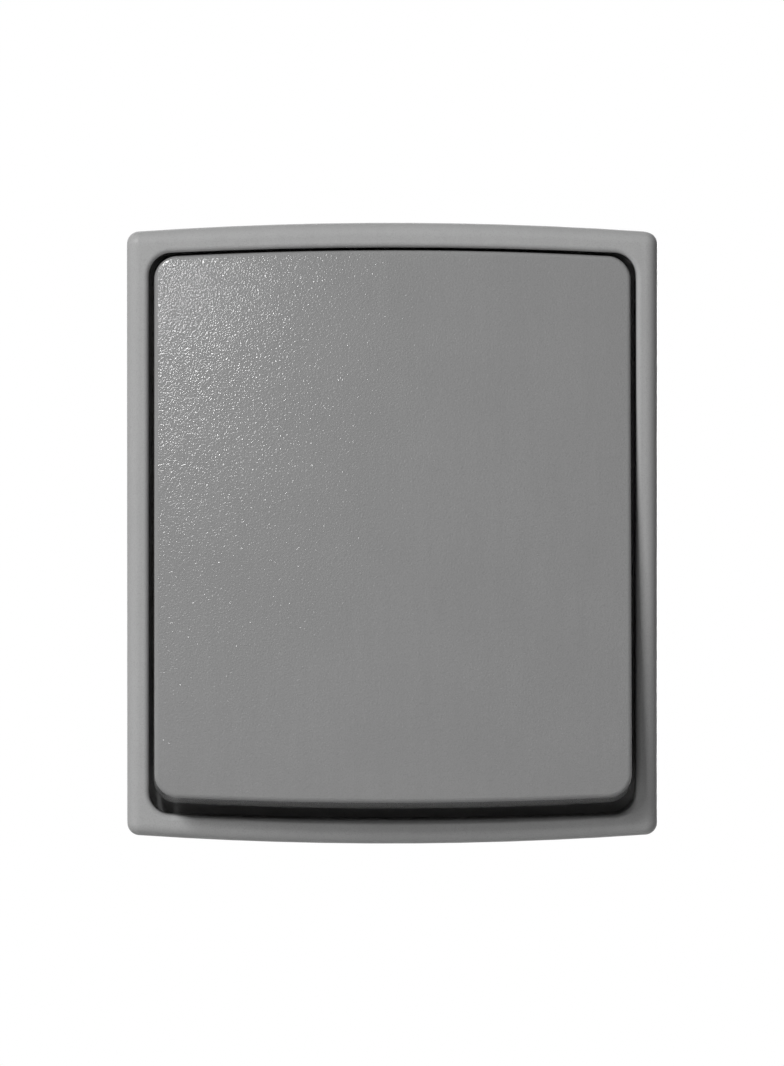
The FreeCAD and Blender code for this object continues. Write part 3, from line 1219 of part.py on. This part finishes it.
def make_clamp_spring(name, sign, place):
    body = new_body("clamp_spring_" + name)
    half = "Sizes.leaf_thick / 2"
    start = "%s(%s + Sizes.leaf_start)" % (sign, BAR_OUTER)
    side = -1 if sign else 1
    path = new_sketch(body, "leaf_path", "XY_Plane", place, turn=0)
    begin = Vector(value(start), value("Sizes.leaf_front"), 0)
    middle = Vector(side * value(LEAF_BEND_PLACE), value("Sizes.leaf_front + Sizes.leaf_bend"), 0)
    end = Vector(side * value(LEAF_TIP), value("Sizes.leaf_tip_depth"), 0)
    radius = value("Sizes.leaf_bend")
    reach = end - middle
    lean = math.atan2(reach.y, side * reach.x) - math.acos(radius / reach.Length)
    leave = middle + Vector(side * radius * math.cos(lean), radius * math.sin(lean), 0)
    low = Vector(middle.x, begin.y, 0)
    front_leg = path.addGeometry(Part.LineSegment(begin, low))
    ring = Part.Circle(middle, Vector(0, 0, 1), radius)
    if side > 0:
        arc = path.addGeometry(Part.ArcOfCircle(ring, -math.pi / 2, lean))
        near, far = 1, 2
    else:
        arc = path.addGeometry(Part.ArcOfCircle(ring, math.pi - lean, 3 * math.pi / 2))
        near, far = 2, 1
    back_leg = path.addGeometry(Part.LineSegment(leave, end))
    path.addConstraint(Sketcher.Constraint("Horizontal", front_leg))
    path.addConstraint(Sketcher.Constraint("Tangent", front_leg, 2, arc, near))
    path.addConstraint(Sketcher.Constraint("Tangent", arc, far, back_leg, 1))
    pin(path, "start", front_leg, 1, start, "Sizes.leaf_front")
    bind(path, "Radius", "bend_radius", "Sizes.leaf_bend", arc)
    bind(path, "DistanceX", "bend_place", sign + LEAF_BEND_PLACE, -1, 1, arc, 3)
    pin(path, "tip", back_leg, 2, sign + LEAF_TIP, "Sizes.leaf_tip_depth")

    section = new_sketch(body, "leaf_section", "YZ_Plane", start)
    rise = "(%s / 2 - Sizes.leaf_inset)" % BAR_TALL
    rectangle(
        section, "leaf", "Sizes.leaf_front - %s" % half, "Sizes.leaf_front + %s" % half,
        "%s - %s" % (place, rise), "%s + %s" % (place, rise),
    )
    leaf = body.newObject("PartDesign::AdditivePipe", "leaf")
    leaf.Profile = section
    leaf.Spine = path
    doc.recompute()
    return body


# Release buttons, which slide in the back wall and press the clamp springs open

def make_release_button(name, sign, place):
    """Its front end stops just behind the sloping leg of the clamp spring."""
    body = new_body("release_button_" + name)
    middle = sign + BUTTON_PLACE
    wide = BUTTON_WIDE + " / 2"
    tall = "Sizes.button_tall / 2"
    end = "(Sizes.base_deep + Sizes.button_proud)"
    rise = "(Sizes.leaf_tip_depth - Sizes.leaf_front - Sizes.leaf_bend)"
    run = "(%s - %s)" % (LEAF_BEND_PLACE, LEAF_TIP)
    slope = "(atan(%s / %s) - asin(Sizes.leaf_bend / sqrt(%s^2 + %s^2)))" % (rise, run, rise, run)
    leaf = "(Sizes.leaf_tip_depth - (%s - %s - %s) * tan(%s))" % (BUTTON_PLACE, wide, LEAF_TIP, slope)
    front = "(%s + Sizes.leaf_thick / 2 / cos(%s) + Sizes.button_free)" % (leaf, slope)
    shank = depth_sketch(body, "shank_outline", end)
    rectangle(
        shank, "shank", "%s - %s" % (middle, wide), "%s + %s" % (middle, wide),
        "%s - %s" % (place, tall), "%s + %s" % (place, tall),
    )
    pad(body, shank, "button_shank", "%s - %s" % (end, front))
    lip_back = "(%s - Sizes.button_lip_gap)" % CELL_DEEP
    lip = depth_sketch(body, "lip_outline", lip_back)
    rectangle(
        lip, "lip", "%s - %s - Sizes.button_lip" % (middle, wide),
        "%s + %s + Sizes.button_lip" % (middle, wide),
        "%s - %s - Sizes.button_lip" % (place, tall), "%s + %s + Sizes.button_lip" % (place, tall),
    )
    pad(body, lip, "button_lip", "Sizes.button_lip_long")
    chamfer(body, "button_end", "Sizes.button_bevel", lambda e: in_front(e, "-" + end))
    driver = depth_sketch(body, "driver_outline", end)
    rectangle(
        driver, "driver", "%s - %s" % (middle, wide), "%s + %s" % (middle, wide),
        "%s - Sizes.driver_slot / 2" % place, "%s + Sizes.driver_slot / 2" % place,
    )
    pocket(body, driver, "driver_slot", "Sizes.driver_deep", reverse=True)
    return body


subparts = [
    make_frame(),
    make_gasket(),
    make_membrane(),
    make_retainer(),
    make_frame_screws(),
    make_seal_rings(),
    make_support_ring(),
    make_insert_cover(),
    make_cover_screws(),
    make_insert_base(),
    make_fixed_contacts(),
    make_rocker(),
    make_cradle(),
    make_plunger_spring(),
    make_plunger(),
    make_contact_lever(),
    make_moving_contacts(),
]
for terminal in TERMINALS:
    subparts.append(make_terminal(*terminal))
    subparts.append(make_clamp_spring(*terminal))
    subparts.append(make_release_button(*terminal))

doc.recompute()
for item in doc.Objects:
    if "Invalid" in item.State or "Error" in item.State:
        raise RuntimeError("%s is not built: %s" % (item.Name, item.State))
for subpart in subparts:
    if subpart.Shape.isNull() or not subpart.Shape.isValid():
        raise RuntimeError("%s has no valid shape" % subpart.Label)

os.makedirs("parts", exist_ok=True)
for subpart in subparts:
    subpart.Shape.exportStep("parts/%s.step" % subpart.Label)
    box = subpart.Shape.BoundBox
    print(
        "%-26s %2d solid %9.1f mm3  x %7.2f %7.2f  y %7.2f %7.2f  z %7.2f %7.2f" % (
            subpart.Label, len(subpart.Shape.Solids), subpart.Shape.Volume,
            box.XMin, box.XMax, box.YMin, box.YMax, box.ZMin, box.ZMax,
        )
    )
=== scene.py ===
import bpy
import math
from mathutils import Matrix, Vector


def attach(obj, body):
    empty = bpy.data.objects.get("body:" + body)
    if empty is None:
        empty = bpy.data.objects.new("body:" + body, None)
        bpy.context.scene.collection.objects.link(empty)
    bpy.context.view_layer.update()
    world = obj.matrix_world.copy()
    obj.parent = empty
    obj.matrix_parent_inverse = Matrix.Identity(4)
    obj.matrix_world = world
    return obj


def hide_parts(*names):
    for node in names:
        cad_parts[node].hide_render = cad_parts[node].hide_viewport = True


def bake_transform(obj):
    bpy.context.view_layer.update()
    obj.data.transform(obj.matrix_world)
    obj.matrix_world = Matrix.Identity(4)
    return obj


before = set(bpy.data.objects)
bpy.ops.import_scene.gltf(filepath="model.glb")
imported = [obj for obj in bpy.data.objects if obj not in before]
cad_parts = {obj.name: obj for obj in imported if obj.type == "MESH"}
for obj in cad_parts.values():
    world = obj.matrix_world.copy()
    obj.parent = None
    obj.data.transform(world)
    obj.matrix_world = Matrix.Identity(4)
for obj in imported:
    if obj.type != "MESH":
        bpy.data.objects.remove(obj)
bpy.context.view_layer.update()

face_middle = Vector((0.00005, -0.006, -0.00005))
viewpoint = Vector((-0.045, -2.212, 0.068))

lens = bpy.data.cameras.new("front_view")
lens.sensor_width = 36.0
lens.lens = 486.75
lens.clip_start = 0.1
lens.clip_end = 20.0
camera = bpy.data.objects.new("front_view", lens)
camera.location = viewpoint
camera.rotation_euler = (face_middle - viewpoint).to_track_quat("-Z", "Y").to_euler()
bpy.context.scene.collection.objects.link(camera)
bpy.context.scene.camera = camera
bpy.context.scene.view_settings.view_transform = "Standard"


# Insert base, cover and membrane retainer: pale polyamide mouldings, straight from spark-eroded
# tools. Base and cover hold the terminals and are screwed together on the support ring; the
# retainer clamps the membrane to the frame's floor.


class Wire:
    """One output of a material's nodes. Arithmetic on it adds Math nodes."""

    def __init__(self, tree, socket=None):
        self.tree = tree
        self.socket = socket

    def node(self, kind, settings=None, sockets=None, output=0):
        """A new node of this kind. Each socket gets a wire or a value, by name or number."""
        made = self.tree.nodes.new(kind)
        for name, setting in (settings or {}).items():
            setattr(made, name, setting)
        for name, given in (sockets or {}).items():
            if isinstance(given, Wire):
                self.tree.links.new(given.socket, made.inputs[name])
            else:
                made.inputs[name].default_value = given
        return Wire(self.tree, made.outputs[output])

    def __add__(self, other):
        return self.node("ShaderNodeMath", {"operation": "ADD"}, {0: self, 1: other})

    def __mul__(self, other):
        return self.node("ShaderNodeMath", {"operation": "MULTIPLY"}, {0: self, 1: other})

    __radd__ = __add__
    __rmul__ = __mul__

    def between(self, low, high):
        """0 below low, 1 above high, and smooth from one to the other."""
        sockets = {"Value": self, "From Min": low, "From Max": high}
        return self.node("ShaderNodeMapRange", {"interpolation_type": "SMOOTHSTEP"}, sockets)

    def stretched(self, across, deep, up):
        """This place with each direction multiplied, for marks that are longer one way."""
        sockets = {0: self, 1: (across, deep, up)}
        return self.node("ShaderNodeVectorMath", {"operation": "MULTIPLY"}, sockets)

    def noise(self, size, detail=2.0, roughness=0.5):
        """Noise from 0 to 1 over this place, with spots of about this size in metres."""
        sockets = {"Vector": self, "Scale": 1.0 / size, "Detail": detail, "Roughness": roughness}
        return self.node("ShaderNodeTexNoise", {}, sockets)

    def mix(self, colour, other):
        """This value mixes the first colour towards the other. 6 and 7 are the node's colour
        inputs, and 2 is its colour output."""
        sockets = {"Factor": self, 6: colour, 7: other}
        return self.node("ShaderNodeMix", {"data_type": "RGBA"}, sockets, output=2)

    def join(self, shader, socket):
        self.tree.links.new(self.socket, shader.inputs[socket])

    def relief(self, depth, shader):
        """This pattern as bumps of at most this depth in metres."""
        bump = self.node("ShaderNodeBump", {}, {"Height": self, "Distance": depth})
        bump.join(shader, "Normal")


def finish(name):
    """A new material, its shader, and the place on the piece that its patterns follow."""
    material = bpy.data.materials.new(name)
    material.use_nodes = True
    shader = material.node_tree.nodes["Principled BSDF"]
    spot = Wire(material.node_tree).node("ShaderNodeTexCoord", output="Object")
    return material, shader, spot


def tint(colour, factor):
    """The colour made darker or lighter, as a node wants it."""
    return tuple(channel * factor for channel in colour) + (1.0,)


def moulded(name, colour, roughness, grain, height, gloss=0.5):
    """Moulded plastic: the tool's eroded grain, with fine spots painted darker as shade in its
    hollows, slow random changes of tone and faint flow lines. The grain's size and height are in
    metres."""
    cloud_size, flow_size, drawn_out = 0.014, 0.0016, 0.12
    lighter, darker, painted_pit_shade = 1.025, 0.975, 0.87
    roughness_change = 0.03
    material, shader, spot = finish(name)
    cloud = spot.noise(cloud_size, 3.0)
    flow = spot.stretched(1.0, 1.0, drawn_out).noise(flow_size)
    shade_spots = spot.noise(grain / 2, 1.0)
    shade = (0.6 * cloud + 0.4 * flow).between(0.35, 0.65)
    surface = shade.mix(tint(colour, darker), tint(colour, lighter))
    # Painted shade: fine spots darkened in the base colour to stand for the shade in the grain's
    # hollows.
    shade_spots.between(0.25, 0.55).mix(tint(colour, painted_pit_shade), surface).join(shader, "Base Color")
    uneven = roughness - roughness_change / 2 + roughness_change * cloud
    uneven.join(shader, "Roughness")
    spot.noise(grain, 0.0).relief(height, shader)
    shader.inputs["Specular IOR Level"].default_value = gloss
    return material


def dress(material, *names):
    """Gives construction nodes their finish."""
    for name in names:
        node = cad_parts[name]
        node.data.materials.clear()
        node.data.materials.append(material)


pale_plastic = moulded("pale_plastic", (0.6, 0.6, 0.58), 0.42, 0.0005, 0.00001)
dress(pale_plastic, "insert_base", "insert_cover", "membrane_retainer")


# Terminals, contact lever and contacts: strips stamped from half-hard brass, bent over and left
# bare, with rolling lines along the strip and a little tarnish. The contacts on them are silver,
# and the lever rocks on the common terminal's knife edge.


def rolled(name, colour, dark, roughness, lines, across):
    """Bare or plated sheet metal: rolling lines, cloudy tarnish and small stains."""
    cloud_size, stain_size, groove_depth = 0.006, 0.0007, 0.000006
    material, shader, spot = finish(name)
    grooves = spot.stretched(*across).noise(lines, 3.0, 0.65)
    cloud = spot.noise(cloud_size, 4.0, 0.6)
    stains = 0.5 * spot.noise(stain_size).between(0.66, 0.78)
    tarnish = cloud.between(0.35, 0.75).mix(tint(colour, 1.0), tint(dark, 1.0))
    stains.mix(tarnish, tint(dark, 0.6)).join(shader, "Base Color")
    dull = roughness + 0.12 * grooves + 0.12 * cloud.between(0.4, 0.8)
    dull.join(shader, "Roughness")
    grooves.relief(groove_depth, shader)
    shader.inputs["Metallic"].default_value = 1.0
    return material


brass = rolled("brass", (0.78, 0.58, 0.27), (0.55, 0.38, 0.16), 0.22, 0.0004, (0.08, 1.0, 1.0))
dress(brass, "terminal_common", "terminal_upper", "terminal_lower", "contact_lever")
silver = rolled("silver", (0.86, 0.85, 0.82), (0.6, 0.57, 0.5), 0.25, 0.0003, (1.0, 1.0, 1.0))
dress(silver, "fixed_contacts", "moving_contacts")


# Clamp springs and plunger spring: bright spring steel, bent from strip and coiled from drawn
# wire. A clamp spring's front leg rests in its chamber, and its back leg gives way where the
# release button presses it, so it is cut across there to bend smoothly.

spring_steel = rolled(
    "spring_steel", (0.56, 0.57, 0.59), (0.36, 0.36, 0.37), 0.2, 0.0003, (1.0, 1.0, 0.06)
)
dress(spring_steel, "plunger_spring")


def soft_copy(node, name, material):
    """The start of a piece that gives way: the node's own form with its doubles merged. It is
    left selected."""
    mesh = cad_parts[node].data.copy()
    mesh.name = name
    mesh.materials.clear()
    mesh.materials.append(material)
    piece = bpy.data.objects.new(name, mesh)
    bpy.context.scene.collection.objects.link(piece)
    bpy.ops.object.select_all(action="DESELECT")
    piece.select_set(True)
    bpy.context.view_layer.objects.active = piece
    bpy.ops.object.mode_set(mode="EDIT")
    bpy.ops.mesh.select_all(action="SELECT")
    bpy.ops.mesh.remove_doubles(threshold=0.000001)
    bpy.ops.mesh.dissolve_limited(angle_limit=math.radians(1))
    bpy.ops.object.mode_set(mode="OBJECT")
    return piece


smooth_below = math.radians(40)
first_cut, cut_step, cuts = 0.0129, 0.0004, 9
for end in ("common", "upper", "lower"):
    leaf = soft_copy("clamp_spring_" + end, "leaf_spring_" + end, spring_steel)
    bpy.ops.object.mode_set(mode="EDIT")
    for cut in range(cuts):
        bpy.ops.mesh.select_all(action="SELECT")
        bpy.ops.mesh.bisect(plane_co=(0, first_cut + cut_step * cut, 0), plane_no=(0, 1, 0))
    bpy.ops.object.mode_set(mode="OBJECT")
    bpy.ops.object.shade_smooth_by_angle(angle=smooth_below)
    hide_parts("clamp_spring_" + end)
    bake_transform(leaf)


# Release buttons: small glossy mouldings in orange polyamide, which slide in the base's windows
# and are pushed in with a screwdriver from behind to open the clamps.

orange_plastic = moulded("orange_plastic", (0.72, 0.2, 0.02), 0.28, 0.0004, 0.000004)
dress(orange_plastic, "release_button_common", "release_button_upper", "release_button_lower")


# Cradle and plunger: natural acetal, slippery and milky, from polished tools. The cradle hangs by
# its trunnions in the cover's lugs, and the plunger slides in the cradle's leg.

acetal = moulded("acetal", (0.72, 0.72, 0.68), 0.32, 0.0006, 0.000004)
dress(acetal, "cradle", "plunger")


# Support ring and screws: steel with zinc plating and a pale bluish passivation, a little patchy
# and dull. The ring is stamped from sheet, and its slots take the wall box's screws.

zinc = rolled("zinc", (0.54, 0.57, 0.61), (0.43, 0.43, 0.41), 0.46, 0.0005, (0.15, 1.0, 1.0))
dress(zinc, "support_ring", "frame_screws", "cover_screws")


# Wall gasket: closed-cell foam rubber, black, cut as one ring and pressed into the groove at the
# frame's back. Its edges are soft and its faces show the cells, whose hollows are painted darker
# as shade.

foam_rubber, shader, spot = finish("foam_rubber")
cells_per_metre, cell_depth = 2200.0, 0.00012
cell_hollow_shade, on_skin = (0.008, 0.008, 0.008, 1), (0.035, 0.035, 0.036, 1)
cells = spot.node("ShaderNodeTexVoronoi", {}, {"Vector": spot, "Scale": cells_per_metre})
worn = spot.noise(0.004, 3.0)
# Painted shade: the cells' hollows, where the bump dips, are coloured darker than the skin.
cells.between(0.1, 0.6).mix(cell_hollow_shade, on_skin).join(shader, "Base Color")
(0.78 + 0.15 * worn).join(shader, "Roughness")
(cells + 0.3 * worn).relief(cell_depth, shader)

gasket = soft_copy("wall_gasket", "foam_gasket", foam_rubber)
rounded = gasket.modifiers.new("soft_edges", "BEVEL")
rounded.width = 0.00035
rounded.segments = 3
rounded.limit_method = "ANGLE"
bpy.ops.object.modifier_apply(modifier="soft_edges")
bpy.ops.object.shade_smooth_by_angle(angle=smooth_below)
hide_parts("wall_gasket")
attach(gasket, "housing")


# Membrane and seal rings: black silicone with a dusty bloom. In the switch the membrane's flange
# is clamped to the frame's floor, its roll gives way, and its sleeve goes with the cradle's neck;
# here the membrane is its node's form, merged and smooth-shaded. The rings lie under the heads of
# the frame screws.

membrane_rubber, shader, spot = finish("membrane_rubber")
grit_size, grit_depth = 0.00035, 0.000015
silicone, dusty = (0.03, 0.03, 0.032, 1), (0.075, 0.075, 0.078, 1)
bloom = spot.noise(0.005, 4.0, 0.6)
(0.6 * bloom.between(0.4, 0.75)).mix(silicone, dusty).join(shader, "Base Color")
(0.55 + 0.2 * bloom).join(shader, "Roughness")
spot.noise(grit_size).relief(grit_depth, shader)
dress(membrane_rubber, "screw_seal_rings")

bellows = soft_copy("membrane", "rubber_membrane", membrane_rubber)
bpy.ops.object.shade_smooth_by_angle(angle=smooth_below)
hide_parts("membrane")
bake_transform(bellows)


# Frame: the grey surround, one moulding in satin plastic with the fine, dull grain of its tool.
# It lies on the wall over its gasket and is screwed to the support ring through its floor.

frame_grey = moulded("frame_grey", (0.37, 0.37, 0.37), 0.42, 0.0003, 0.000014, gloss=0.2)
dress(frame_grey, "frame")


# Rocker: the large key, moulded in a darker, glossier grey whose higher grain glints in the
# light. It clips onto the cradle with two latches.

rocker_grey = moulded("rocker_grey", (0.235, 0.235, 0.235), 0.2, 0.00027, 0.000041)
dress(rocker_grey, "rocker")


# Floor: a pale board well below the switch, out of the picture. The white behind the switch is
# the world, as the camera and gloss see it. To everything else the world is nearly black.

bpy.ops.object.select_all(action="DESELECT")
bpy.ops.mesh.primitive_plane_add(size=1.6, location=(0, -0.6, -0.2))
bpy.ops.object.transform_apply(location=True, rotation=False, scale=False)
floor = bpy.context.object
floor.name = "floor"
floor_white = bpy.data.materials.new("floor_white")
floor_white.use_nodes = True
shader = floor_white.node_tree.nodes["Principled BSDF"]
shader.inputs["Base Color"].default_value = (0.8, 0.8, 0.8, 1)
shader.inputs["Roughness"].default_value = 0.6
floor.data.materials.append(floor_white)

world = bpy.data.worlds.new("studio")
bpy.context.scene.world = world
world.use_nodes = True
world.node_tree.nodes.remove(world.node_tree.nodes["Background"])
sky = Wire(world.node_tree)
white = (1, 1, 1, 1)
faint = sky.node("ShaderNodeBackground", {}, {"Color": white, "Strength": 0.015})
bright = sky.node("ShaderNodeBackground", {}, {"Color": white, "Strength": 1.0})
seen = sky.node("ShaderNodeLightPath", output="Is Camera Ray")
seen += sky.node("ShaderNodeLightPath", output="Is Glossy Ray")
seen += sky.node("ShaderNodeLightPath", output="Is Transmission Ray")
pick = sky.node("ShaderNodeMixShader", {}, {0: seen, 1: faint, 2: bright})
pick.join(world.node_tree.nodes["World Output"], "Surface")


# Lamps: a soft one high on the left lights the face, a weak narrow one lights the back, and a
# small one near the camera's axis on the left picks out the rocker's grain.


def softbox(name, place, side, watts):
    """A square lamp that shines at the middle of the switch."""
    lamp = bpy.data.lights.new(name, "AREA")
    lamp.size = side
    lamp.energy = watts
    holder = bpy.data.objects.new(name, lamp)
    holder.location = place
    holder.rotation_euler = (-Vector(place)).to_track_quat("-Z", "Y").to_euler()
    bpy.context.scene.collection.objects.link(holder)
    return lamp


softbox("key", (-0.75, -1.0, 0.9), 0.4, 19.8)
behind = softbox("behind", (0.25, 1.1, 0.0), 0.2, 0.2)
behind.spread = math.radians(30)
softbox("near_left", (-0.076, -0.23, 0.083), 0.012, 0.08)
